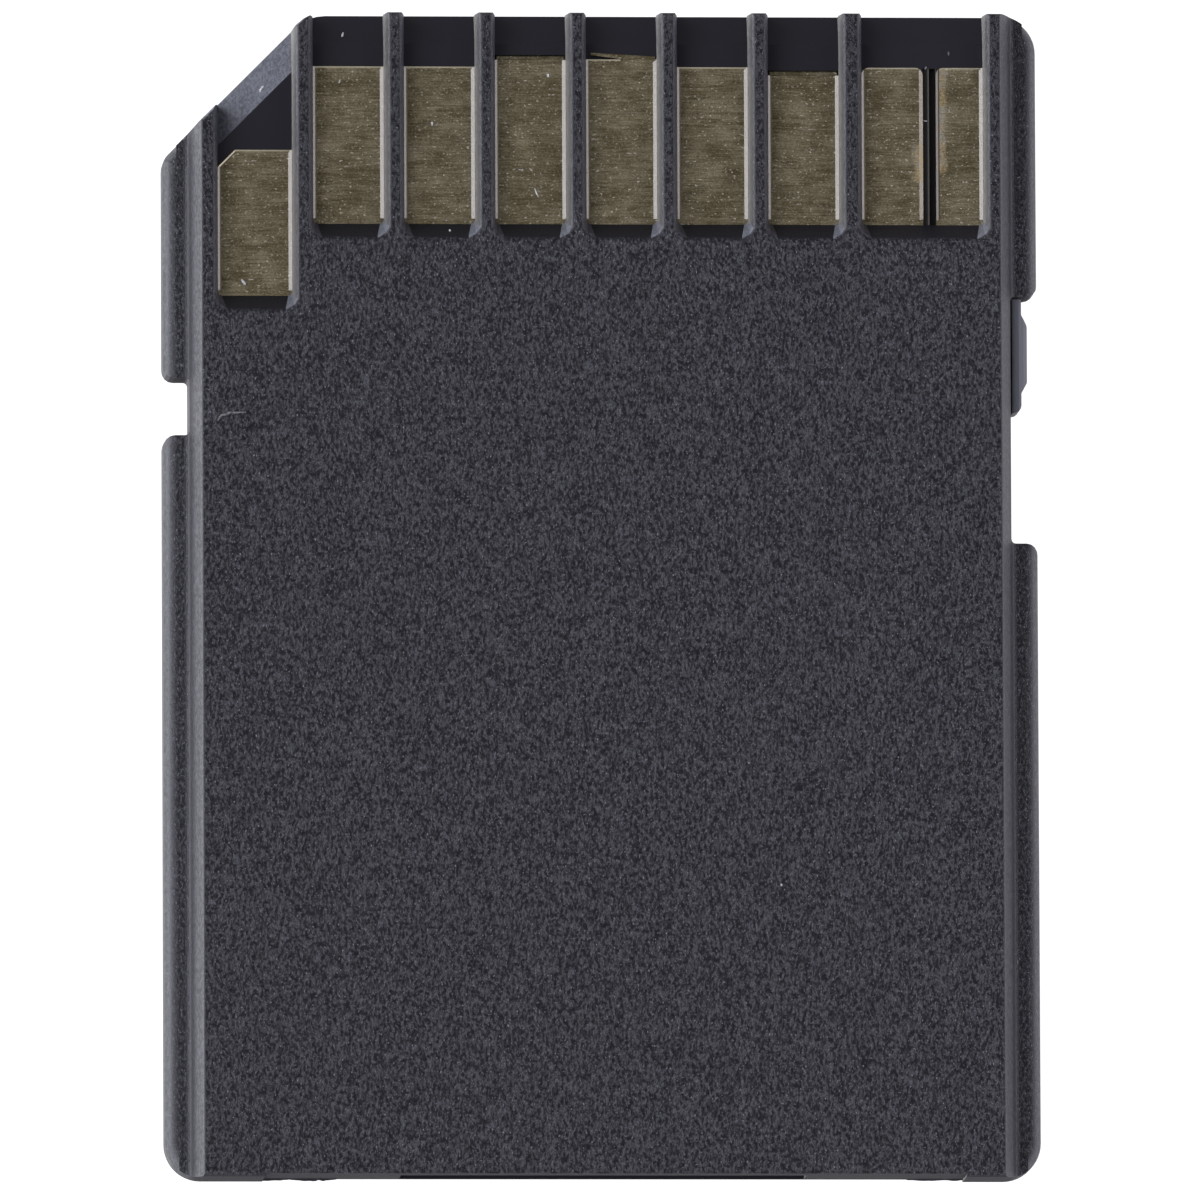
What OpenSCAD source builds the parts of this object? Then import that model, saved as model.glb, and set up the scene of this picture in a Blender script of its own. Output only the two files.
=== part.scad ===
/* [Card outline] */
// Width across both side rails
card_w = 24; // [23.9:0.05:24.1]
// Length from the slot mouth to the contact end
card_l = 32; // [31.9:0.05:32.1]
// Full thickness, at the raised platform
card_h = 2.1; // [2.05:0.05:2.2]
// Thickness at the two side rails
rail_h = 1.4; // [1.38:0.02:1.42]
// Radius of the three round corners
corner_r = 1; // [0.8:0.1:1.2]
// Leg of the cut corner
cut_leg = 4; // [3.9:0.1:4.1]
// Rounding of the rails' outer edges
edge_r = 0.38; // [0.34:0.02:0.4]
// Rounding of the outer edges on the label side
label_edge_r = 0.25; // [0.15:0.05:0.3]

/* [Platform] */
// Rounding of the platform's and the ribs' upper edges
top_r = 0.1; // [0.06:0.02:0.12]
// Foot of the platform's side slopes, from the middle
platform_foot = 11.31; // [11.29:0.01:11.34]
// How far the side slopes lean in
side_lean = 0.34; // [0.28:0.02:0.4]

/* [Contact windows] */
// Distance from one contact to the next
pad_pitch = 2.5; // [2.49:0.01:2.51]
// Centre of the first contact window
first_pad_x = -6.9; // [-6.92:0.005:-6.88]
// Width of a plain window's floor
pad_w = 1.94; // [1.88:0.01:1.96]
// Lean of the walls between windows, foot to top
wall_lean = 0.1; // [0.06:0.01:0.14]
// Lean of a window's rear wall
rear_lean = 0.45; // [0.35:0.01:0.5]
// Rounding of the window's rear corners
window_r = 0.15; // [0.1:0.01:0.2]
// Rear end of the eight main windows
window_rear = 10.23; // [10.15:0.02:10.27]
// Rear end of the corner window
corner_window_rear = 8.24; // [8.18:0.02:8.26]
// Front end of a plain contact face
pad_front = 14.57; // [14.52:0.05:14.67]
// Length of the lead-in slope at the contact end
lead_in_l = 0.8; // [0.6:0.05:0.9]
// Drop of the lead-in slope
lead_in_drop = 0.35; // [0.2:0.05:0.4]

/* [Stamped contacts] */
// Thickness of the sheet metal
sheet = 0.15; // [0.12:0.01:0.16]
// Width of a strip between its face and its spring
strip_w = 0.7; // [0.5:0.05:0.75]
// Distance from one spring to the next
spring_pitch = 1.1; // [1.08:0.01:1.12]
// Middle of the row of springs
spring_mid_x = 0.65; // [0.6:0.05:0.7]
// Width of the raised rims along a face's edges
rim_w = 0.1; // [0.06:0.01:0.12]
// Height of those rims
rim_h = 0.04; // [0.02:0.01:0.06]

/* [Inner card slot] */
// Width of the slot
slot_w = 11.1; // [11.06:0.02:11.2]
// Height of the slot
slot_h = 0.8; // [0.76:0.02:0.8]
// Thickness of the floor on the label side
floor_h = 0.45; // [0.4:0.01:0.45]
// Where the inserted card stops
stop_y = -1; // [-1.2:0.1:-0.8]

/* [Write-protect slider] */
// Low end of the notch that holds the slider
notch_low = 1.46; // [1.4:0.01:1.6]
// High end of the notch that holds the slider
notch_high = 8.26; // [8.2:0.01:8.3]
// Floor of the notch
notch_floor = 11.25; // [11.2:0.01:11.27]
// Gap round the sliding piece
slide_gap = 0.06; // [0.05:0.01:0.08]
// Stroke of the slider
stroke = 3.3; // [3.2:0.05:3.3]

/* [Hidden] */
CONTACTS = ["data_2_contact", "data_3_contact", "command_contact", "supply_contact",
            "clock_contact", "ground_contact", "data_0_contact", "data_1_contact"];
$fn = 48;
eps = 0.5;
half_w = card_w / 2;
half_l = card_l / 2;

// Plastics and metal as the photograph shows them
shell_colour = [0.22, 0.21, 0.25];
slider_colour = [0.42, 0.42, 0.45];
contact_colour = [0.5, 0.45, 0.34];

// Distance of the cut corner's face from the middle
cut_out = (half_w + half_l - cut_leg) / sqrt(2);

// Both halves meet on this level
parting_z = 0.7;
slot_top = floor_h + slot_h;
// The sheet lies with its upper face in the window floor
sheet_z = rail_h - sheet;

// Windows as [left foot, right foot, rear end]
twin_window = [7.2, 10.53];
corner_window = [-10.49, -8.45];
function pad_x(i) = first_pad_x + pad_pitch * i;
WINDOWS = concat(
  [[corner_window[0], corner_window[1], corner_window_rear]],
  [for (i = [0:5]) [pad_x(i) - pad_w / 2, pad_x(i) + pad_w / 2, window_rear]],
  [[twin_window[0], twin_window[1], window_rear]]);

// The two faces in the twin window, and the groove with a ledge between them
twin_gap = [8.88, 9.24];
groove_depth = 0.4;
ledge_w = 0.18;
ledge_depth = 0.1;

// Contact faces as [left, right, front, rear, left corner, right corner]
supply_front = 14.78;
ground_front = [14.76, 14.35];
corner_front = 12.26;
corner_face_cut = 0.48;
tail = 0.6;
twin_r = 0.2;
// Part of a rim's width and height that a front rim has
front_rim = 0.7;
function face(i, front) = [pad_x(i) - pad_w / 2, pad_x(i) + pad_w / 2, front, window_rear, 0, 0];
FACES = [
  [corner_window[0], corner_window[1], corner_front, corner_window_rear, 0, 0],
  face(0, pad_front), face(1, pad_front), face(3, supply_front), face(4, pad_front),
  face(5, ground_front[1]),
  [twin_window[0], twin_gap[0], pad_front, window_rear, twin_r, twin_r],
  [twin_gap[1], twin_window[1], pad_front, window_rear, twin_r, 0]];
second_ground_face = face(2, ground_front[0]);

// Sheared sliver ahead of the supply face, as offsets from the face's left front corner
SLIVER = [[0.13, 0.18], [1.9, 0.08], [1.9, -0.04], [0.95, -0.04], [0.95, 0.01], [0.13, 0.12]];
SLIVER_GAP = [[0.13, 0.12], [0.95, 0.01], [0.95, -0.01], [0.13, -0.01]];
sliver_h = 0.04;
sliver_gap_depth = 0.12;

// The ground faces dip under the floor and a bar joins them there
bar_y = [15.1, 15.55];
tab_w = 1.84;
tab_bend = 65;
tab_slope = 0.22;
bar_drop = 2 * sheet * (1 - cos(tab_bend)) + tab_slope * sin(tab_bend);
dip_run = 2 * sheet * sin(tab_bend) + tab_slope * cos(tab_bend);
dip_recess = 0.14;

// Springs, from their root in the plastic to the turned-up tip
spring_root_y = 1.6;
spring_root_w = 0.6;
spring_tip_w = 0.44;
arm_drop = 7;
arm_l = 5;
tip_rise = 35;
tip_l = 0.75;
bend_r = 0.5;
// Length of a strip that is straight before it fans out
strip_straight = 1.6;
// How far a spring's sheet runs into its strip, and from there to the first bend
spring_anchor = 0.2;
spring_lead = 0.3;
// A spring tapers between these distances from the middle of the card
taper_y = [0, -7];
function spring_x(i) = spring_mid_x + spring_pitch * (i - 3.5);

// A bay over each spring, with comb ribs between the bays
bay_w = 0.84;
bay_top = 1.72;
bay_y = [-5.4, spring_root_y];

// The inner card is narrower at its front on the cut-corner side
narrow_step = 1.3;
step_y = [-7.9, -6.6];
lip_l = 1.7;
lip_relief = 0.2;
mouth_flare = 0.25;
mouth_inset = 0.08;
mouth_span = [-9.3, 9.9];

// Left notch, where a host's lock can catch
lock_notch = [4.4, 5.98];
lock_floor = -11.28;
notch_out_r = 0.32;
notch_in_r = 0.12;

// Roundings where the cut corner meets the side and the end
cut_side_r = 0.6;
cut_end_r = 1.2;

// Slider, its stem through the wall and its flange inside
slider_l = 3.13;
slider_z = [0.12, 1.28];
slider_x = [11.31, 11.75];
slider_round = 0.12;
slider_brow = 0.4;
bar_out = 11.57;
// Grip, as distances from the slider's low and high ends
bar_end_r = 0.22;
grip_low = [0.55, 0.88];
grip_high = [0.42, 0.72];
stem_l = 1.2;
stem_z = [0.46, 0.94];
flange_l = 2.2;
flange_x = [10.3, 10.8];
flange_z = [0.34, 1.06];

// Shallow field for a label
label_depth = 0.12;
label_x = 10.2;
label_y = [-14.2, 9.4];

// Locating pins that line the two halves up
PINS = [[-8.6, 5.2], [-8.6, -12.6], [8.6, -12.6], [8.6, 9.2]];
pin_r = 0.6;
pin_h = 0.45;
pin_gap = 0.03;

// Arc that rounds the corner b between a and c
arc_steps = 4;
function unit(v) = v / norm(v);
function fillet(a, b, c, r) = r == 0 ? [b] :
  let (u = unit(a - b), v = unit(c - b), half = acos(u * v) / 2,
       mid = b + unit(u + v) * r / sin(half), from = b + u * r / tan(half) - mid,
       side = sign(u[0] * v[1] - u[1] * v[0]), turn = -side * (180 - 2 * half))
  [for (k = [0:arc_steps]) let (t = turn * k / arc_steps)
    mid + [from[0] * cos(t) - from[1] * sin(t), from[0] * sin(t) + from[1] * cos(t)]];
// Outline of [x, y, radius] corners, each rounded to its own radius
function spot(p) = [p[0], p[1]];
function rounded(p) = let (n = len(p))
  [for (i = [0:n - 1]) each fillet(spot(p[(i + n - 1) % n]), spot(p[i]), spot(p[(i + 1) % n]), p[i][2])];

// Runs a profile drawn in X and Z along Y
module along_y(y0, y1) translate([0, y1, 0]) rotate([90, 0, 0]) linear_extrude(y1 - y0) children();

// Runs a profile drawn in Y and Z along X
module along_x(x0, x1) translate([x0, 0, 0]) rotate([90, 0, 90]) linear_extrude(x1 - x0) children();

module box(x, y, z) translate([x[0], y[0], z[0]]) cube([x[1] - x[0], y[1] - y[0], z[1] - z[0]]);

// Half a slab's section, from its middle out to a rounded edge
module edge_section(w, z0, z1, r_low, r_high) {
  foot = r_low > 0 ? [[w - r_low, z0], [w, z0 + r_low]] : [[w, z0]];
  head = r_high > 0 ? [[w, z1 - r_high], [w - r_high, z1]] : [[w, z1]];
  polygon(concat([[0, z0]], foot, head, [[0, z1]]));
  if (r_low > 0) translate([w - r_low, z0 + r_low]) circle(r_low);
  if (r_high > 0) translate([w - r_high, z1 - r_high]) circle(r_high);
}

// The card's outline between two levels, with rounded edges all round
module slab(z0, z1, r_low, r_high) intersection() {
  union() {
    for (side = [0, 1]) {
      along_y(-half_l + corner_r, half_l - corner_r)
        mirror([side, 0]) edge_section(half_w, z0, z1, r_low, r_high);
      along_x(-half_w + corner_r, half_w - corner_r)
        mirror([side, 0]) edge_section(half_l, z0, z1, r_low, r_high);
    }
    for (end = [[-1, -1], [1, -1], [1, 1]])
      translate([end[0] * (half_w - corner_r), end[1] * (half_l - corner_r), 0])
        rotate_extrude() edge_section(corner_r, z0, z1, r_low, r_high);
  }
  rotate([0, 0, 135]) {
    along_y(-card_l, card_l) edge_section(cut_out, z0, z1, r_low, r_high);
    box([-card_l, 0], [-card_l, card_l], [z0, z1]);
  }
}

// A window's section across one wall, which leans more the further it has turned to the rear
function wall_section(share) = let (
    rise = card_h - rail_h,
    top = window_r + wall_lean + (rear_lean - wall_lean) * share,
    brow = fillet([window_r, 0], [top, rise], [top + 1, rise], top_r * (1 + share)))
  concat([[-card_l, 0], [window_r, 0]], brow,
    [[brow[arc_steps][0], rise + eps], [-card_l, rise + eps]]);

// A window between two ribs, its leaning walls turned round both rear corners
module window(left, right, rear) {
  walls = [for (a = [0:30:90]) each [[right - window_r, -a, a], [left + window_r, 180 + a, a]]];
  intersection_for (wall = walls)
    translate([wall[0], rear + window_r, rail_h]) rotate([0, 0, wall[1]])
      along_y(-card_l, card_l) polygon(wall_section(wall[2] / 90));
}

// The floor's slope towards the contact end
module lead_in(left, right) {
  along_x(left, right) polygon([
    [half_l - lead_in_l, rail_h + eps], [half_l - lead_in_l, rail_h],
    [half_l + lead_in_l, rail_h - 2 * lead_in_drop], [half_l + lead_in_l, rail_h + eps]]);
}

// The same slope beside the cut corner, kept inside the corner window
module corner_lead_in() intersection() {
  box(corner_window, [0, card_l], [0, card_h + eps]);
  rotate([0, 0, 135]) along_y(-card_l, card_l) polygon([
    [cut_out - lead_in_l, rail_h + eps], [cut_out - lead_in_l, rail_h],
    [cut_out + lead_in_l, rail_h - 2 * lead_in_drop], [cut_out + lead_in_l, rail_h + eps]]);
}

// Rails below and platform above, before anything is cut
module contact_side_blank() {
  low = rail_h - edge_r;
  slab(parting_z, rail_h, 0, edge_r);
  intersection() {
    slab(low, card_h, 0, top_r);
    along_y(-half_l, half_l) polygon(rounded([
      [-half_w + edge_r, low, 0], [half_w - edge_r, low, 0], [half_w - edge_r, rail_h, 0],
      [platform_foot, rail_h, 2 * top_r], [platform_foot - side_lean, card_h, top_r],
      [side_lean - platform_foot, card_h, top_r], [-platform_foot, rail_h, 2 * top_r],
      [-half_w + edge_r, rail_h, 0]]));
  }
}

// Room for the inner card, open at the mouth and narrower at its front
module card_room(z0, z1) {
  half = slot_w / 2;
  translate([0, 0, z0]) linear_extrude(z1 - z0) polygon([
    [-half, -half_l - eps], [half, -half_l - eps], [half, stop_y], [narrow_step - half, stop_y],
    [narrow_step - half, step_y[1]], [-half, step_y[0]]]);
}

// Flare of the slot's mouth, on one half
module mouth(z_edge, z_out) {
  half = slot_w / 2;
  along_x(-half, half) polygon([
    [-half_l - eps, z_edge], [-half_l + mouth_flare, z_edge], [-half_l, z_out], [-half_l - eps, z_out]]);
}

// What both halves leave free for the slider, its stem and its flange
module slider_room() {
  mid = notch_high - slide_gap - slider_l / 2;
  notch(notch_floor, notch_low, notch_high);
  box([flange_x[1], half_w], [mid - stem_l / 2 - stroke - slide_gap, mid + stem_l / 2 + slide_gap],
      [stem_z[0] - slide_gap, stem_z[1] + slide_gap]);
  box([flange_x[0] - slide_gap, flange_x[1] + slide_gap],
      [mid - flange_l / 2 - stroke - slide_gap, mid + flange_l / 2 + slide_gap],
      [flange_z[0] - slide_gap, flange_z[1] + slide_gap]);
}

// A notch in a rail, its corners rounded inside and out
module notch(floor_x, low, high) {
  edge = sign(floor_x) * half_w;
  out = [sign(floor_x), 0];
  up = fillet([floor_x, high], [edge, high], [edge, high + 1], notch_out_r);
  down = fillet([edge, low - 1], [edge, low], [floor_x, low], notch_out_r);
  inner = concat(fillet([edge, low], [floor_x, low], [floor_x, high], notch_in_r),
    fillet([floor_x, low], [floor_x, high], [edge, high], notch_in_r));
  translate([0, 0, -eps]) linear_extrude(rail_h + 2 * eps)
    polygon(concat(inner, up, [up[arc_steps] + out], [down[0] + out], down));
}

// Takes the sharp corner b off, between a and c
module corner_trim(a, b, c, r) {
  translate([0, 0, -eps]) linear_extrude(card_h + 2 * eps)
    polygon(concat(fillet(a, b, c, r), [b - unit(unit(a - b) + unit(c - b))]));
}

// What is cut through both halves at their edges
module side_cuts() {
  slider_room();
  notch(lock_floor, lock_notch[0], lock_notch[1]);
  cut_side = [-half_w, half_l - cut_leg];
  cut_end = [-half_w + cut_leg, half_l];
  corner_trim([-half_w, 0], cut_side, cut_end, cut_side_r);
  corner_trim(cut_side, cut_end, [0, half_l], cut_end_r);
  box(mouth_span, [-half_l - eps, -half_l + mouth_inset], [-eps, card_h + eps]);
}

module contact_side_shell() color(shell_colour) difference() {
  contact_side_blank();
  for (w = WINDOWS) window(w[0], w[1], w[2]);
  for (i = [1:7]) lead_in(WINDOWS[i][0], WINDOWS[i][1]);
  corner_lead_in();
  box(twin_gap, [window_rear, pad_front], [rail_h - ledge_depth, card_h]);
  box([twin_gap[0] + ledge_w, twin_gap[1]], [window_rear, pad_front], [rail_h - groove_depth, card_h]);
  side_cuts();
  card_room(parting_z - eps, slot_top);
  mouth(slot_top - 0.01, slot_top + mouth_flare);
  for (i = [0:7]) {
    box([spring_x(i) - bay_w / 2, spring_x(i) + bay_w / 2], bay_y, [parting_z - eps, bay_top]);
    bed(i);
  }
  for (f = [FACES[5], second_ground_face])
    box([f[0], f[1]], [f[2], f[2] + dip_recess], [sheet_z, card_h]);
  translate([FACES[3][0], FACES[3][2], rail_h - sliver_gap_depth]) linear_extrude(card_h) polygon(SLIVER_GAP);
  for (p = PINS)
    translate([p[0], p[1], parting_z - eps]) cylinder(r = pin_r + pin_gap, h = pin_h + pin_gap + eps);
}

module label_side_shell() color(shell_colour) {
  difference() {
    slab(0, parting_z, label_edge_r, 0);
    box([-label_x, label_x], label_y, [-eps, label_depth]);
    side_cuts();
    card_room(floor_h, parting_z + eps);
    box([-slot_w / 2, slot_w / 2], [-half_l - eps, -half_l + lip_l], [floor_h - lip_relief, parting_z + eps]);
  }
  for (p = PINS) translate([p[0], p[1], parting_z - 0.1]) cylinder(r = pin_r, h = pin_h + 0.1);
}

// Grip, bar, stem and flange are one moulding
module write_protect_slider() color(slider_colour) {
  high = notch_high - slide_gap;
  low = high - slider_l;
  mid = high - slider_l / 2;
  x = slider_x;
  intersection() {
    linear_extrude(card_h) polygon(rounded([
      [x[0], low, 0], [bar_out, low, bar_end_r], [bar_out, low + grip_low[0], slider_round],
      [x[1], low + grip_low[1], slider_round], [x[1], high - grip_high[1], slider_round],
      [bar_out, high - grip_high[0], slider_round], [bar_out, high, 0], [x[0], high, 0]]));
    along_y(low - eps, high + eps) polygon(rounded([
      [x[0] - eps, slider_z[0], 0], [x[1], slider_z[0], slider_round],
      [x[1], slider_z[1], slider_brow], [x[0] - eps, slider_z[1], 0]]));
  }
  box([flange_x[1] - 0.01, x[0] + 0.01], [mid - stem_l / 2, mid + stem_l / 2], stem_z);
  box(flange_x, [mid - flange_l / 2, mid + flange_l / 2], flange_z);
}

// Points along a path of [length, heading] steps from a start
function walk(p, steps, i = 0) = i == len(steps) ? [p] :
  concat([p], walk(p + steps[i][0] * [cos(steps[i][1]), sin(steps[i][1])], steps, i + 1));
// Steps round a bend from one heading to another
function bend(from, to, r, n = 6) =
  [for (k = [0.5:n - 0.5]) [2 * r * sin(abs(to - from) / n / 2), from + (to - from) * k / n]];
// A sheet of even thickness that follows a path, its ends square
function left_of(a, b) = let (d = (b - a) / norm(b - a)) [-d[1], d[0]];
function side_at(p, i) = i == 0 ? left_of(p[0], p[1]) :
  i == len(p) - 1 ? left_of(p[i - 1], p[i]) :
  let (m = left_of(p[i - 1], p[i]) + left_of(p[i], p[i + 1])) m * 2 / (m * m);
function ribbon(p, t) = concat(
  [for (i = [0:len(p) - 1]) p[i] + side_at(p, i) * t / 2],
  [for (i = [len(p) - 1:-1:0]) p[i] - side_at(p, i) * t / 2]);

// Plan of a contact's face, its front corners rounded or cut
module face_plan(f, cut, rear) polygon(rounded(concat(
  [[f[0], rear, 0], [f[1], rear, 0], [f[1], f[2], f[5]]],
  cut > 0 ? [[f[0] + cut, f[2], 0], [f[0], f[2] - cut, 0]] : [[f[0], f[2], f[4]]])));

// What lies inside the rim of one edge, which passes through p and faces the heading
module inside_rim(p, heading, share) {
  translate([p[0], p[1], rail_h]) rotate([0, 0, heading]) along_y(-card_l, card_l) polygon([
    [-card_l, 0], [-share * rim_w, 0], [share * rim_w, 2 * share * rim_h], [-card_l, 2 * share * rim_h]]);
}

// The face itself. Its edges stand up a little, all but a ground face's front, which dips
module stamped_face(f, cut, dips) {
  translate([0, 0, sheet_z]) linear_extrude(sheet) face_plan(f, cut, f[3] - tail);
  difference() {
    translate([0, 0, rail_h - sheet / 2]) linear_extrude(sheet / 2 + rim_h) face_plan(f, cut, f[3] + window_r);
    intersection() {
      inside_rim([f[0], 0], 180, 1);
      inside_rim([f[1], 0], 0, 1);
      inside_rim([0, dips ? card_l : f[2]], 90, front_rim);
      inside_rim([f[0] + cut, cut > 0 ? f[2] : card_l], 135, front_rim);
    }
  }
}

// Thin sliver that the shear left on the supply face's front edge
module sliver() {
  f = FACES[3];
  translate([f[0], f[2], rail_h]) linear_extrude(sliver_h) polygon(SLIVER);
}

// The strip from the rear of a face to the root of its spring
module strip(f, x) {
  mid = (f[0] + f[1]) / 2;
  half = strip_w / 2;
  fan_y = spring_root_y + strip_straight;
  top = f[3] - tail / 2;
  translate([0, 0, sheet_z]) linear_extrude(sheet) polygon([
    [mid - half, top], [mid - half, f[3] - tail - half], [x - half, fan_y],
    [x - half, spring_root_y], [x + half, spring_root_y], [x + half, fan_y],
    [mid + half, f[3] - tail - half], [mid + half, top]]);
}

// A ground face's front end, dipping to the level of the bar
module dip(f) {
  mid = (f[0] + f[1]) / 2;
  flat = (bar_y[0] + bar_y[1]) / 2 - f[2] - dip_run;
  down = concat(bend(0, -tab_bend, sheet), [[tab_slope, -tab_bend]], bend(-tab_bend, 0, sheet), [[flat, 0]]);
  along_x(mid - tab_w / 2, mid + tab_w / 2)
    polygon(ribbon(walk([f[2], sheet_z + sheet / 2], down), sheet));
}

// The buried bar between the two ground faces
module ground_bar() {
  own = FACES[5];
  far = second_ground_face;
  dip(own);
  dip(far);
  box([(far[0] + far[1] - tab_w) / 2, (own[0] + own[1] + tab_w) / 2], bar_y,
      [sheet_z - bar_drop, rail_h - bar_drop]);
}

function cut_of(i) = i == 0 ? corner_face_cut : 0;
function is_ground(i) = CONTACTS[i] == "ground_contact";

// What the shell leaves free for a contact below the window floor
module bed(i) {
  f = FACES[i];
  strip(f, spring_x(i));
  translate([0, 0, sheet_z]) linear_extrude(sheet) {
    face_plan(f, cut_of(i), f[3] - tail);
    if (is_ground(i)) face_plan(second_ground_face, 0, second_ground_face[3] - tail);
  }
  if (is_ground(i)) ground_bar();
}

// One stamped contact: face, strip and cantilever spring
module contact(i) color(contact_colour) {
  stamped_face(FACES[i], cut_of(i), is_ground(i));
  strip(FACES[i], spring_x(i));
  if (CONTACTS[i] == "supply_contact") sliver();
  if (is_ground(i)) {
    stamped_face(second_ground_face, 0, true);
    ground_bar();
  }
  spring(spring_x(i));
}

// Cantilever spring, bent down to its contact point and tapered in plan
module spring(x) {
  path = walk([spring_root_y + spring_anchor, sheet_z + sheet / 2], concat(
    [[spring_lead, 180]], bend(180, 180 + arm_drop, bend_r), [[arm_l, 180 + arm_drop]],
    bend(180 + arm_drop, 180 - tip_rise, bend_r), [[tip_l, 180 - tip_rise]]));
  root = spring_root_w / 2;
  tip = spring_tip_w / 2;
  intersection() {
    along_x(x - root, x + root) polygon(ribbon(path, sheet));
    linear_extrude(card_h) polygon([
      [x - root, card_l], [x - root, taper_y[0]], [x - tip, taper_y[1]],
      [x + tip, taper_y[1]], [x + root, taper_y[0]], [x + root, card_l]]);
  }
}

contact_side_shell();
label_side_shell();
write_protect_slider();
for (i = [0:7]) contact(i);
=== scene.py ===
"""Materials, dust, moulding flash, table, light and camera for a memory card adapter."""
import math
import random

import bmesh
import bpy
from mathutils import Matrix, Vector


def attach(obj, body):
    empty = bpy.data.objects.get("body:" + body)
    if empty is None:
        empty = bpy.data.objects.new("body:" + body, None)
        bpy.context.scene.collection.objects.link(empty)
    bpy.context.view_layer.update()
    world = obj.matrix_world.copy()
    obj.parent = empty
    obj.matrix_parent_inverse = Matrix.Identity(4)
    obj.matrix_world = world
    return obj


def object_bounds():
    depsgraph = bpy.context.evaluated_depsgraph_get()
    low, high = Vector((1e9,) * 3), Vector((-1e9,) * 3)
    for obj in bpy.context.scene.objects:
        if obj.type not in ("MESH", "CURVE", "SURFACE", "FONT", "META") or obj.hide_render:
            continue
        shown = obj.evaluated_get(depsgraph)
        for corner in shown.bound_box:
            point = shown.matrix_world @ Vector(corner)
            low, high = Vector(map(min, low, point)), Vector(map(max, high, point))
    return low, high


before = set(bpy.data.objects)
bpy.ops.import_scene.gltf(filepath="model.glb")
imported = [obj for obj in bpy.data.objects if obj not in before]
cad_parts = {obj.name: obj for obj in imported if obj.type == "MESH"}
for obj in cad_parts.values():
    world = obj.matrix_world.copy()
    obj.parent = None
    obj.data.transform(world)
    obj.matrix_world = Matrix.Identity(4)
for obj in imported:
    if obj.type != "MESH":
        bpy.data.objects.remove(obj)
cad_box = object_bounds()

# Units: the card is drawn in millimetres and Blender works in metres
MM = 0.001
random.seed(7)

# The photograph: where the card's middle lies in it, and its scale across and along the card
PHOTO_SIDE = 1200
CARD_MIDDLE_PX = (601.6, 595.8)
PX_PER_MM = (36.46, 36.33)
# It was taken from a little to the left and to the rear of overhead, as slopes
LEAN_X, LEAN_Y = 0.06, 0.1
# Its scale square to the line of sight, which the leans shorten to the two above
SQUARE_PX_PER_MM = 36.53

low, high = cad_box
TOP_Z = high.z
RAIL_Z = 1.4 * MM
SHELL_NODES = ("contact_side_shell", "label_side_shell")
CONTACT_NODES = [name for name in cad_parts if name.endswith("_contact")]

# Soft limits of the shell's regions in mm, each from where its mask is 0 to where it is 1.
# OUT is the distance from the card's middle line, and two limits together bound a band.
RAIL_OUT, SLOPE_OUT = (11.1, 11.2), (10.8, 10.9)
PLATFORM_Z = (1.6, 1.75)
RIBS_Y = (10.3, 10.8)
SLOPE_FOOT_Z = ((1.39, 1.41), (1.8, 1.5))
WALL_FOOT_Z = (1.95, 1.42)
CUT_CORNER_X, CUT_CORNER_Y, CUT_CORNER_Z = (-11.0, -10.8), (9.0, 10.0), (1.5, 1.42)
GROOVE_X, GROOVE_Y = ((8.7, 8.8), (9.5, 9.4)), ((10.0, 10.2), (14.7, 14.6))
GROOVE_Z = (1.37, 1.34)
LEDGE_EDGE_X, LEDGE_EDGE_Z = (9.0, 9.04), (1.26, 1.28)
# The same on the twin contacts, on the rims of every contact and on the slider
LAST_BARE_X, LAST_BARE_Y = ((9.1, 9.12), (9.6, 9.42)), ((11.6, 11.75), (14.6, 14.5))
WIDE_BARE_X, WIDE_BARE_Y = ((8.54, 8.72), (9.02, 9.0)), ((11.35, 11.5), (12.5, 12.4))
TWIN_RIMS_X = ((8.7, 8.72), (9.4, 9.38))
LEFT_RIM_Z, FRONT_RIM_Z = (1.412, 1.42), (1.41, 1.416)
# Where the slider's painted light rises
SLIDER_LIT_X = (11.2, 11.6)

# Textures, as scale, detail, roughness and the stretch along each axis
MOULD_GRAIN = (9.0, 4.0, 0.78, (1.5, 0.8, 1.5))
FINE_GRAIN = (21.0, 2.0, 0.5, (1.0, 0.6, 1.0))
SLIDER_GRAIN = (9.0, 3.0, 0.5, (1.0, 0.7, 1.0))
ROLLED_LINES = (3.0, 3.0, 0.6, (0.5, 8.0, 8.0))
BLOTCHES = (15.0, 3.0, 0.6, (1.0, 1.4, 1.0))
BRIGHT_SPOTS = (15.0, 2.0, 0.5, (0.8, 1.2, 0.8))
CLOUDS = (1.9, 3.0, 0.6)
RAGGED_EDGE = (3.0, 3.0, 0.6)
# Depths of the relief that they give
MOULD_DEPTH, SLIDER_DEPTH, METAL_DEPTH = 0.07 * MM, 0.02 * MM, 0.016 * MM

# Light, with 1 as the photograph's white
FLOOR_GLOW, GLOW_LEFT, GLOW_RIGHT = 1.02, 1.3, 0.6
LAMPS = (
    # Direction, cosines at the lamp's soft edge and at its full strength, strength
    ((-0.85, 0.0, 0.5), 0.66, 0.93, 5.0),
    ((0.9, -0.1, 0.42), 0.75, 0.95, 2.4),
)


def photo_point(px, py, z=TOP_Z):
    """The place at height z that the photograph shows at a pixel."""
    rise = z - RAIL_Z
    return Vector((
        (px - CARD_MIDDLE_PX[0]) / PX_PER_MM[0] * MM - LEAN_X * rise,
        (CARD_MIDDLE_PX[1] - py) / PX_PER_MM[1] * MM - LEAN_Y * rise,
        z,
    ))


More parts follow.
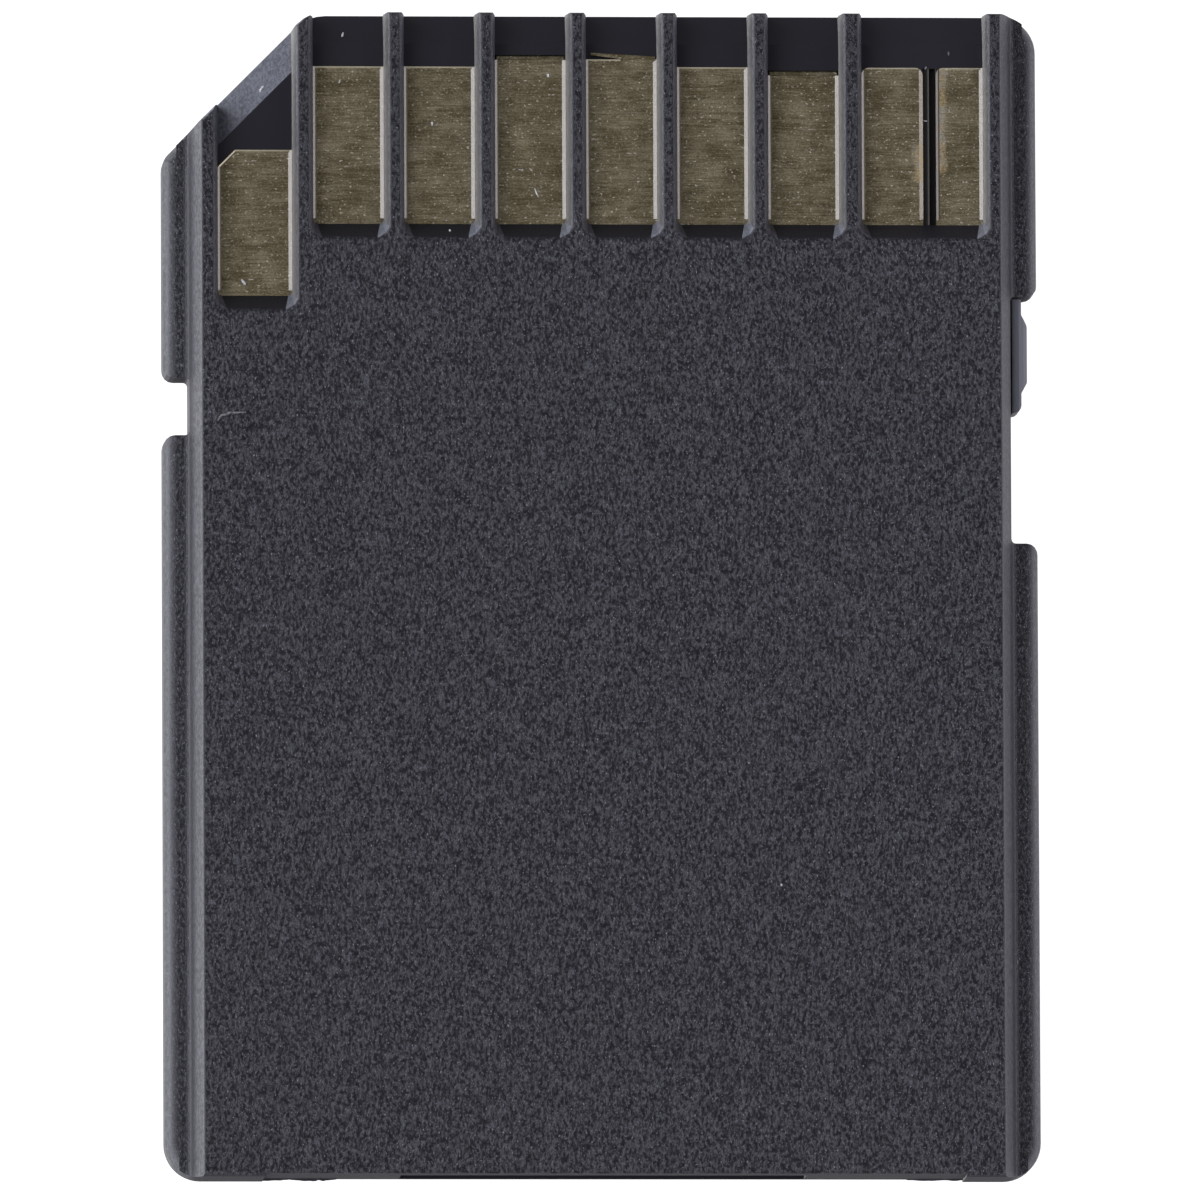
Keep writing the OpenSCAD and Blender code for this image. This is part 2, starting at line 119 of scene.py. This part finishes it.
class Graph:
    """A material's or world's node tree, with short names for common nodes."""

    def __init__(self, owner):
        owner.use_nodes = True
        self.tree = owner.node_tree
        self.nodes = self.tree.nodes
        self.nodes.clear()

    def add(self, kind, inputs=(), **settings):
        node = self.nodes.new(kind)
        for name, value in settings.items():
            setattr(node, name, value)
        for key, value in dict(inputs).items():
            self.feed(node.inputs[key], value)
        return node

    def feed(self, socket, value):
        if isinstance(value, bpy.types.NodeSocket):
            self.tree.links.new(value, socket)
        else:
            socket.default_value = value

    def math(self, operation, *values):
        node = self.add("ShaderNodeMath", operation=operation)
        for socket, value in zip(node.inputs, values):
            self.feed(socket, value)
        return node.outputs[0]

    def product(self, first, *others):
        for other in others:
            first = self.math("MULTIPLY", first, other)
        return first

    def total(self, first, *others):
        for other in others:
            first = self.math("ADD", first, other)
        return first

    def inverse(self, mask):
        return self.math("SUBTRACT", 1.0, mask)

    def step(self, value, start, end, low_out=0.0, high_out=1.0):
        """Rises smoothly from low_out to high_out as value goes from start to end."""
        node = self.add("ShaderNodeMapRange", interpolation_type="SMOOTHSTEP")
        for key, item in zip(("Value", "From Min", "From Max", "To Min", "To Max"),
                             (value, start, end, low_out, high_out)):
            self.feed(node.inputs[key], item)
        return node.outputs["Result"]

    def band(self, value, rise, fall):
        """1 between two soft limits, each a pair of where it is 0 and where it is 1."""
        return self.product(self.step(value, *rise), self.step(value, *fall))

    def mix(self, factor, first, second):
        node = self.add("ShaderNodeMix", data_type="RGBA")
        self.feed(node.inputs["Factor"], factor)
        self.feed(node.inputs["A"], first)
        self.feed(node.inputs["B"], second)
        return node.outputs["Result"]

    def place(self, stretch=(1, 1, 1)):
        """Position on the object in millimetres, each axis scaled."""
        coords = self.add("ShaderNodeTexCoord")
        node = self.add("ShaderNodeMapping", {"Vector": coords.outputs["Object"]})
        node.inputs["Scale"].default_value = [s / MM for s in stretch]
        return node.outputs["Vector"]

    def noise(self, scale, detail=2.0, rough=0.5, stretch=(1, 1, 1)):
        """Noise fixed to the object: a larger scale is finer, and a larger stretch narrower."""
        node = self.add("ShaderNodeTexNoise", {
            "Vector": self.place(stretch), "Scale": scale, "Detail": detail, "Roughness": rough})
        return node.outputs["Fac"]

    def axes(self, vector):
        return self.add("ShaderNodeSeparateXYZ", {"Vector": vector}).outputs

    def facing(self):
        """The surface's direction along each axis."""
        return self.axes(self.add("ShaderNodeNewGeometry").outputs["Normal"])

    def bump(self, height, distance, strength):
        node = self.add("ShaderNodeBump", {
            "Height": height, "Distance": distance, "Strength": strength})
        return node.outputs["Normal"]

    def surface(self, **sockets):
        """The material's shader, with underscores for the spaces in its sockets' names."""
        inputs = {key.replace("_", " "): value for key, value in sockets.items()}
        shader = self.add("ShaderNodeBsdfPrincipled", inputs)
        self.add("ShaderNodeOutputMaterial", {"Surface": shader.outputs["BSDF"]})


def new_material(name):
    material = bpy.data.materials.new(name)
    return material, Graph(material)


def colour(red, green, blue):
    return (red, green, blue, 1.0)


def plastic(name):
    """Black moulded plastic: spark-eroded grain with painted glints on the raised faces, smooth in
    the windows, and painted light and shade on its slopes and walls.
    """
    # Tones between the grains and painted glints on them, for each region, then painted light and
    # shade tones
    pit, lit_rail_pit = colour(0.0012, 0.001, 0.003), colour(0.006, 0.006, 0.008)
    glint_tone, rail_glint_tone = colour(0.049, 0.048, 0.059), colour(0.085, 0.084, 0.1)
    sparkle_glint = colour(0.1, 0.1, 0.112)
    smooth_tone = colour(0.0065, 0.006, 0.009)
    lit_side_tones = colour(0.034, 0.035, 0.037), colour(0.1, 0.101, 0.107)
    lit_right_tones = colour(0.034, 0.032, 0.039), colour(0.1, 0.094, 0.112)
    lit_high_wall_tones = colour(0.03, 0.03, 0.031), colour(0.075, 0.075, 0.077)
    bounce_lit_low_wall_tones = colour(0.085, 0.084, 0.076), colour(0.18, 0.177, 0.16)
    lit_rear_corner_tones = colour(0.07, 0.074, 0.086), colour(0.13, 0.137, 0.155)
    lit_cut_corner_tones = colour(0.045, 0.047, 0.056), colour(0.1, 0.105, 0.122)
    groove_and_highlight_tones = colour(0.008, 0.006, 0.004), colour(0.075, 0.068, 0.062)

    material, g = new_material(name)
    x, y, z = g.axes(g.place())
    facing_x, facing_y, facing_z = g.facing()
    tilt = g.math("ABSOLUTE", facing_z)
    flat = g.step(tilt, 0.6, 0.97)
    faces_left, faces_right = g.step(facing_x, -0.1, -0.4), g.step(facing_x, 0.1, 0.4)
    out = g.math("ABSOLUTE", x)
    on_rail, on_side = g.step(out, *RAIL_OUT), g.step(out, *SLOPE_OUT)
    grain_here = g.product(flat, g.math("MAXIMUM", g.step(z, *PLATFORM_Z), on_rail))

    # Flat between its grains, as the eroded mould leaves it
    grain, fine = g.noise(*MOULD_GRAIN), g.noise(*FINE_GRAIN)
    height = g.total(g.step(grain, 0.46, 0.8, 0.0, 0.34), g.step(fine, 0.5, 0.8, 0.0, 0.1))
    smooth = g.product(flat, g.inverse(grain_here))
    strength = g.math("SUBTRACT", g.total(0.3, g.product(grain_here, 0.6)), g.product(smooth, 0.24))

    # Painted glints on the grain's flecks, fewer on the ribs between the windows
    glint_flecks = g.product(g.step(grain, 0.49, 0.74), g.step(y, *RIBS_Y, 1.0, 0.5))
    # Painted light: the left rail's pits are lighter, as the light falls from the left
    lit_left_rail = g.step(x, -RAIL_OUT[0], -RAIL_OUT[1])
    grain_and_glints = g.mix(glint_flecks, g.mix(lit_left_rail, pit, lit_rail_pit), g.mix(on_rail, glint_tone, rail_glint_tone))
    grain_and_glints = g.mix(g.step(fine, 0.64, 0.74), grain_and_glints, sparkle_glint)
    base = g.mix(grain_here, smooth_tone, grain_and_glints)

    # Painted light on the upright faces towards the lamps, mixed with their grain
    left = g.product(faces_left, g.inverse(
        g.total(g.product(on_side, 0.22), g.product(on_rail, 0.12))))
    right = g.product(faces_right, g.total(0.45, g.product(on_rail, 0.14)))
    lit = g.product(g.step(tilt, 0.97, 0.75), g.total(left, right))
    # Painted shade at the foot of each side slope, where less of the painted light falls
    shaded_foot = g.product(on_side, g.band(z, *SLOPE_FOOT_Z))
    lit = g.product(lit, g.inverse(g.product(shaded_foot, 0.75)))
    rough_grain = g.step(grain, 0.35, 0.65)
    side = g.mix(rough_grain, *lit_side_tones)
    # Painted light on a rib's side: painted bounce light from the contacts lower down, and a
    # painted highlight where it turns round a window's rear corner
    lit_wall = g.mix(g.step(z, *WALL_FOOT_Z), g.mix(rough_grain, *lit_high_wall_tones),
                 g.mix(rough_grain, *bounce_lit_low_wall_tones))
    lit_wall = g.mix(g.step(facing_y, 0.2, 0.45), lit_wall, g.mix(rough_grain, *lit_rear_corner_tones))
    side = g.mix(g.product(faces_left, g.inverse(on_side)), side, lit_wall)
    side = g.mix(faces_right, side, g.mix(rough_grain, *lit_right_tones))
    # Painted light: side holds the lit tones that replace the base on faces towards the lamps
    base = g.mix(lit, base, side)

    # Painted reflection on the left-facing slope at the cut corner, broken by the grain
    lit_cut_corner = g.product(g.step(facing_x, -0.15, -0.25), g.step(z, *CUT_CORNER_Z),
                        g.step(x, *CUT_CORNER_X), g.step(y, *CUT_CORNER_Y), flat)
    base = g.mix(lit_cut_corner, base, g.mix(g.step(grain, 0.38, 0.62), *lit_cut_corner_tones))

    # The ledge in the groove between the twin contacts has a painted highlight along its lit edge
    groove = g.product(g.band(x, *GROOVE_X), g.band(y, *GROOVE_Y), g.step(z, *GROOVE_Z))
    lit_ledge_edge = g.product(g.step(x, *LEDGE_EDGE_X), g.step(z, *LEDGE_EDGE_Z))
    base = g.mix(groove, base, g.mix(lit_ledge_edge, *groove_and_highlight_tones))

    # Upright faces are the dullest, above all those towards the rear
    dull = g.product(g.step(tilt, 0.75, 0.3), g.step(facing_y, -0.5, -0.9, 0.16, 0.6))
    g.surface(Base_Color=base, Normal=g.bump(height, MOULD_DEPTH, strength),
              Specular_IOR_Level=0.32, Roughness=g.total(0.38, dull))
    return material


def contact_metal(name):
    """Worn brass, rolled along X and dulled in small blotches, its raised rims dull too, with
    painted highlights and a painted shadow on the rims.
    """
    tarnish_tones = colour(0.1, 0.08, 0.04), colour(0.34, 0.295, 0.19)
    bright_spot = colour(0.85, 0.8, 0.66)
    worn_tones = colour(0.52, 0.4, 0.22), colour(0.46, 0.43, 0.34)
    rim_highlight_tone = colour(0.18, 0.172, 0.155)
    twin_rim_highlight_and_wear = colour(0.13, 0.118, 0.098), colour(0.11, 0.083, 0.043)
    left_rim_shade_and_highlight = colour(0.07, 0.055, 0.035), colour(0.24, 0.22, 0.2)
    front_rim_highlight = colour(0.46, 0.41, 0.29)

    material, g = new_material(name)
    x, y, z = g.axes(g.place())
    facing_x, facing_y, _ = g.facing()
    lines, blotches, clouds = g.noise(*ROLLED_LINES), g.noise(*BLOTCHES), g.noise(*CLOUDS)
    wear = g.total(g.product(blotches, 0.4), g.product(lines, 0.32), g.product(clouds, 0.28))
    spots = g.step(g.noise(*BRIGHT_SPOTS), 0.62, 0.72)
    tarnish = g.mix(g.step(wear, 0.38, 0.66), *tarnish_tones)
    base = g.mix(g.product(spots, 0.6), tarnish, bright_spot)

    # Plating worn off along the two edges that face each other in the twin window
    ragged = g.product(g.math("SUBTRACT", g.noise(*RAGGED_EDGE), 0.5), 0.3)
    edge_x = g.total(x, ragged)
    on_last = g.product(g.step(x, *LAST_BARE_X[0]), g.step(edge_x, *LAST_BARE_X[1]),
                        g.band(y, *LAST_BARE_Y))
    on_wide = g.product(g.step(edge_x, *WIDE_BARE_X[0]), g.step(x, *WIDE_BARE_X[1]),
                        g.band(y, *WIDE_BARE_Y))
    worn = g.product(g.math("MAXIMUM", on_last, on_wide), g.step(blotches, 0.36, 0.6, 0.25, 0.9))
    base = g.mix(worn, base, g.mix(g.step(clouds, 0.4, 0.6), *worn_tones))

    # Rims are dull. Those facing -X get a pale painted highlight tone, worn on the twin rims; the
    # left ones get a painted shadow low down and a painted highlight at the top
    lit_rim, painted_left_rim = g.step(facing_x, -0.1, -0.3), g.step(facing_x, 0.1, 0.3)
    twin_rims = g.band(x, *TWIN_RIMS_X)
    # pale: the painted highlight tone of the rims, with wear on the twin rims
    pale = g.mix(twin_rims, rim_highlight_tone, g.mix(worn, *twin_rim_highlight_and_wear))
    base = g.mix(g.product(lit_rim, 0.9), base, pale)
    # Painted shadow low on the left rims and a painted highlight along their top
    base = g.mix(painted_left_rim, base, g.mix(g.step(z, *LEFT_RIM_Z), *left_rim_shade_and_highlight))
    # Painted highlight along the front rims
    lit_front_rim = g.product(g.step(facing_y, -0.08, -0.25), g.step(z, *FRONT_RIM_Z))
    base = g.mix(lit_front_rim, base, front_rim_highlight)

    height = g.total(g.product(lines, 0.6), g.product(blotches, 0.6))
    rough = g.math("MAXIMUM", g.step(blotches, 0.3, 0.7, 0.46, 0.34),
                   g.product(g.math("MAXIMUM", lit_rim, painted_left_rim), 0.5))
    g.surface(Base_Color=base, Metallic=1.0, Normal=g.bump(height, METAL_DEPTH, 0.8),
              Roughness=rough)
    return material


def slider_plastic(name):
    """Smooth grey plastic with a faint mould texture, and painted light towards its outer edge."""
    shaded_inner_tone, lit_outer_tone = colour(0.02, 0.02, 0.025), colour(0.085, 0.085, 0.098)
    grain_tone = colour(0.07, 0.07, 0.08)
    material, g = new_material(name)
    grain = g.noise(*SLIDER_GRAIN)
    # Painted light: paler towards its outer edge, which faces the right lamp
    lit_outer_edge = g.step(g.axes(g.place())[0], *SLIDER_LIT_X)
    base = g.mix(g.product(grain, 0.3), g.mix(lit_outer_edge, shaded_inner_tone, lit_outer_tone), grain_tone)
    g.surface(Base_Color=base, Normal=g.bump(grain, SLIDER_DEPTH, 0.4), Roughness=0.65,
              Specular_IOR_Level=0.3)
    return material


def dust(name, paleness):
    """Mottled lint."""
    material, g = new_material(name)
    dark = colour(*(paleness * c for c in (0.22, 0.22, 0.23)))
    bright = colour(*(paleness * c for c in (0.45, 0.44, 0.43)))
    base = g.mix(g.step(g.noise(12.0), 0.35, 0.65), dark, bright)
    g.surface(Base_Color=base, Roughness=0.9, Specular_IOR_Level=0.2)
    return material


def torn_plastic(name):
    """Black plastic torn dull where it seeped from the mould."""
    material, g = new_material(name)
    base = g.mix(g.noise(9.0), colour(0.008, 0.008, 0.01), colour(0.03, 0.03, 0.034))
    g.surface(Base_Color=base, Roughness=0.95, Specular_IOR_Level=0.08)
    return material


def link(obj):
    bpy.context.scene.collection.objects.link(obj)


def new_object(name, mesh, materials):
    """An object made from a bmesh, which this frees."""
    data = bpy.data.meshes.new(name)
    mesh.to_mesh(data)
    mesh.free()
    for material in materials:
        data.materials.append(material)
    obj = bpy.data.objects.new(name, data)
    link(obj)
    return obj


def skin(mesh, rings):
    """Faces round a row of rings, closed at both ends."""
    count = len(rings[0])
    for a, b in zip(rings, rings[1:]):
        for k in range(count):
            mesh.faces.new((a[k], a[(k + 1) % count], b[(k + 1) % count], b[k]))
    mesh.faces.new(rings[0][::-1])
    mesh.faces.new(rings[-1])


def strand(mesh, points, radius):
    """A flattened fibre along points that it rests on, tapered to both ends."""
    sides, flatness = 8, 0.5
    rings = []
    last = len(points) - 1
    for i, point in enumerate(points):
        along = (points[min(i + 1, last)] - points[max(i - 1, 0)]).normalized()
        side = along.cross(Vector((0, 0, 1))).normalized()
        size = radius * (0.3 + 0.7 * math.sin(math.pi * (0.1 + 0.8 * i / last)))
        ring = []
        for k in range(sides):
            t = 2 * math.pi * k / sides
            rise = Vector((0, 0, size * flatness * (1 + math.sin(t))))
            ring.append(mesh.verts.new(point + side * size * math.cos(t) + rise))
        rings.append(ring)
    skin(mesh, rings)


def curve_points(corners, count):
    """Evenly numbered points on a smooth curve through the corners."""
    ends = [corners[0] * 2 - corners[1]] + corners + [corners[-1] * 2 - corners[-2]]
    points = []
    for i in range(count):
        t = (len(corners) - 1) * i / (count - 1)
        k = min(int(t), len(corners) - 2)
        t -= k
        a, b, c, d = ends[k:k + 4]
        points.append(0.5 * (2 * b + (c - a) * t + (2 * a - 5 * b + 4 * c - d) * t ** 2
                             + (3 * b - a - 3 * c + d) * t ** 3))
    return points


def lint():
    """Specks and one fibre that lie on the card, each where the photograph shows it."""
    pale, plain, dim = range(3)
    shades = (("lint_pale", 1.7), ("lint_plain", 1.0), ("lint_dim", 0.27))
    floor_front, groove_floor, on_wall = 1.295 * MM, 1.3 * MM, 1.76 * MM
    specks = (
        # Pixel, height, length and half width in mm, degrees from the card's length, shade
        ((344.5, 35.2), floor_front, 0.17, 0.028, -15, plain),
        ((263.6, 89.2), floor_front, 0.2, 0.036, -32, plain),
        ((341.4, 81.3), RAIL_Z, 0.11, 0.024, -20, plain),
        ((245.0, 282.8), RAIL_Z, 0.17, 0.036, 38, pale),
        ((550.3, 75.1), RAIL_Z, 0.09, 0.036, 10, pale),
        ((538.2, 192.5), RAIL_Z, 0.27, 0.016, 22, pale),
        ((522.8, 169.4), RAIL_Z, 0.14, 0.014, 88, plain),
        ((433.9, 123.7), RAIL_Z, 0.1, 0.034, 0, pale),
        ((451.4, 230.9), on_wall, 0.07, 0.03, 0, plain),
        ((951.8, 52.0), RAIL_Z, 0.1, 0.03, 5, dim),
        ((928.8, 66.5), RAIL_Z, 0.1, 0.03, -30, dim),
        ((928.0, 119.4), groove_floor, 0.11, 0.02, 85, plain),
        ((780.0, 884.0), TOP_Z, 0.07, 0.03, 0, plain),
    )
    fibre_px = ((218.9, 421.8), (220.4, 418.7), (222.8, 416.3), (227.4, 415.2),
                (231.6, 413.4), (237.4, 413.5), (241.5, 413.2), (247.3, 413.0))
    fibre_radius, most_bow = 0.03 * MM, 0.15
    speck_points, fibre_points = 7, 29
    mesh = bmesh.new()

    def lay(points, radius, shade):
        first = len(mesh.faces)
        strand(mesh, points, radius)
        mesh.faces.ensure_lookup_table()
        for face in mesh.faces[first:]:
            face.smooth = True
            face.material_index = shade

    for pixel, z, length, half_width, degrees, shade in specks:
        middle = photo_point(*pixel, z)
        turn = math.radians(degrees)
        reach = Vector((-math.sin(turn), math.cos(turn), 0)) * (length / 2 * MM)
        bow = Vector((reach.y, -reach.x, 0)) * random.uniform(-most_bow, most_bow)
        corners = [middle - reach, middle + bow, middle + reach]
        lay(curve_points(corners, speck_points), half_width * MM, shade)
    lay(curve_points([photo_point(*pixel) for pixel in fibre_px], fibre_points), fibre_radius, dim)
    obj = new_object("lint", mesh, [dust(name, paleness) for name, paleness in shades])
    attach(obj, "adapter")


def flash():
    """Thin ragged flash that the mould left low along the rear edge, beside the slot."""
    edge_y, root_y, middle_z, half_thick = -15.92, -15.9, 0.3, 0.04
    least_rough, most_rough = -0.008, 0.006
    strips = (
        # x in mm, and how far the flash stands out there
        ((-9.3, 0.065), (-8.8, 0.055), (-8.55, 0.03), (-8.35, 0.05), (-8.1, 0.07), (-7.83, 0.07),
         (-7.75, 0.045), (-7.65, 0.07), (-7.5, 0.05), (-7.3, 0.03), (-7.15, 0.0)),
        ((8.2, 0.0), (8.4, 0.035), (8.85, 0.055), (9.05, 0.055), (9.4, 0.035), (9.7, 0.055),
         (9.9, 0.035)),
    )
    mesh = bmesh.new()
    for strip in strips:
        points = [strip[0]]
        for (x0, out0), (x1, out1) in zip(strip, strip[1:]):
            for t in (1 / 3, 2 / 3):
                out = out0 + (out1 - out0) * t + random.uniform(least_rough, most_rough)
                points.append((x0 + (x1 - x0) * t, max(out, 0.0)))
            points.append((x1, out1))
        sections = []
        for x, out in points:
            corners = ((x, root_y, middle_z + half_thick), (x, edge_y - out, middle_z),
                       (x, root_y, middle_z - half_thick))
            sections.append([mesh.verts.new(Vector(corner) * MM) for corner in corners])
        skin(mesh, sections)
    bmesh.ops.recalc_face_normals(mesh, faces=mesh.faces)
    obj = new_object("rear_flash", mesh, [torn_plastic("flash_plastic_look")])
    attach(obj, "adapter")


def give(node, material):
    """The material fills every slot of a CAD node."""
    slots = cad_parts[node].data.materials
    if len(slots) == 0:
        slots.append(material)
    for i in range(len(slots)):
        slots[i] = material


def dress_frame():
    shell = plastic("shell_plastic_look")
    metal = contact_metal("contact_metal_look")
    for node in SHELL_NODES:
        give(node, shell)
    for node in CONTACT_NODES:
        give(node, metal)
    give("write_protect_slider", slider_plastic("slider_plastic_look"))


def floor():
    """White table, overexposed and brighter on the left."""
    half, below_card = 1200 * MM, 0.02 * MM
    # Its sides brighten over this distance from the card's middle line, in mm
    near, far = 12.5, 17.0
    corners = [(-half, -half, 0), (half, -half, 0), (half, half, 0), (-half, half, 0)]
    mesh = bpy.data.meshes.new("floor")
    mesh.from_pydata(corners, [], [(0, 1, 2, 3)])
    obj = bpy.data.objects.new("floor", mesh)
    obj.location.z = low.z - below_card
    link(obj)
    material, g = new_material("white_floor")
    base = g.mix(g.noise(0.02), colour(0.1, 0.1, 0.1), colour(0.12, 0.12, 0.12))
    x = g.axes(g.place())[0]
    glow = g.total(g.step(x, -near, -far, 0.0, GLOW_LEFT), g.step(x, near, far, 0.0, GLOW_RIGHT),
                   FLOOR_GLOW)
    g.surface(Base_Color=base, Roughness=0.8, Emission_Color=colour(1.0, 1.0, 1.0),
              Emission_Strength=glow)
    mesh.materials.append(material)


def surroundings():
    """A dim room with a large soft lamp on the left and a weaker one on the right."""
    world = bpy.data.worlds.new("studio")
    bpy.context.scene.world = world
    g = Graph(world)
    way = g.add("ShaderNodeTexCoord").outputs["Generated"]
    _, y, z = g.axes(way)
    # The room is dimmest overhead and towards the card's contact end
    light = g.product(g.step(z, 0.35, 0.98, 0.9, 0.22), g.step(y, -1.0, 1.0, 1.1, 0.5))
    for direction, edge, full, strength in LAMPS:
        toward = g.add("ShaderNodeVectorMath", {0: way, 1: Vector(direction).normalized()},
                       operation="DOT_PRODUCT")
        light = g.total(light, g.step(toward.outputs["Value"], edge, full, 0.0, strength))
    background = g.add("ShaderNodeBackground", {
        "Color": colour(0.95, 0.96, 1.06), "Strength": light})
    g.add("ShaderNodeOutputWorld", {"Surface": background.outputs["Background"]})


def camera():
    """Nearly overhead and far off, looking at the middle of the photograph."""
    distance, nearest, farthest = 860 * MM, 50 * MM, 20.0
    back = Vector((-LEAN_X, -LEAN_Y, 1)).normalized()
    across = Vector((1, 0, LEAN_X)).normalized()
    up = back.cross(across)
    # The two leans skew the card slightly, and this turn shares the skew between its sides
    shared = 0.7
    turn = shared * LEAN_X * LEAN_Y
    right = (across * math.cos(turn) - up * math.sin(turn)).normalized()
    data = bpy.data.cameras.new("camera")
    data.sensor_width = 36.0
    data.lens = data.sensor_width * distance / (PHOTO_SIDE / SQUARE_PX_PER_MM * MM)
    data.clip_start, data.clip_end = nearest, farthest
    obj = bpy.data.objects.new("camera", data)
    link(obj)
    obj.location = photo_point(PHOTO_SIDE / 2, PHOTO_SIDE / 2, RAIL_Z) + back * distance
    obj.rotation_mode = "QUATERNION"
    obj.rotation_quaternion = Matrix((right, back.cross(right), back)).transposed().to_quaternion()
    bpy.context.scene.camera = obj


camera()
dress_frame()
lint()
flash()
floor()
surroundings()
bpy.context.scene.view_settings.view_transform = "Standard"
bpy.context.scene.view_settings.look = "None"
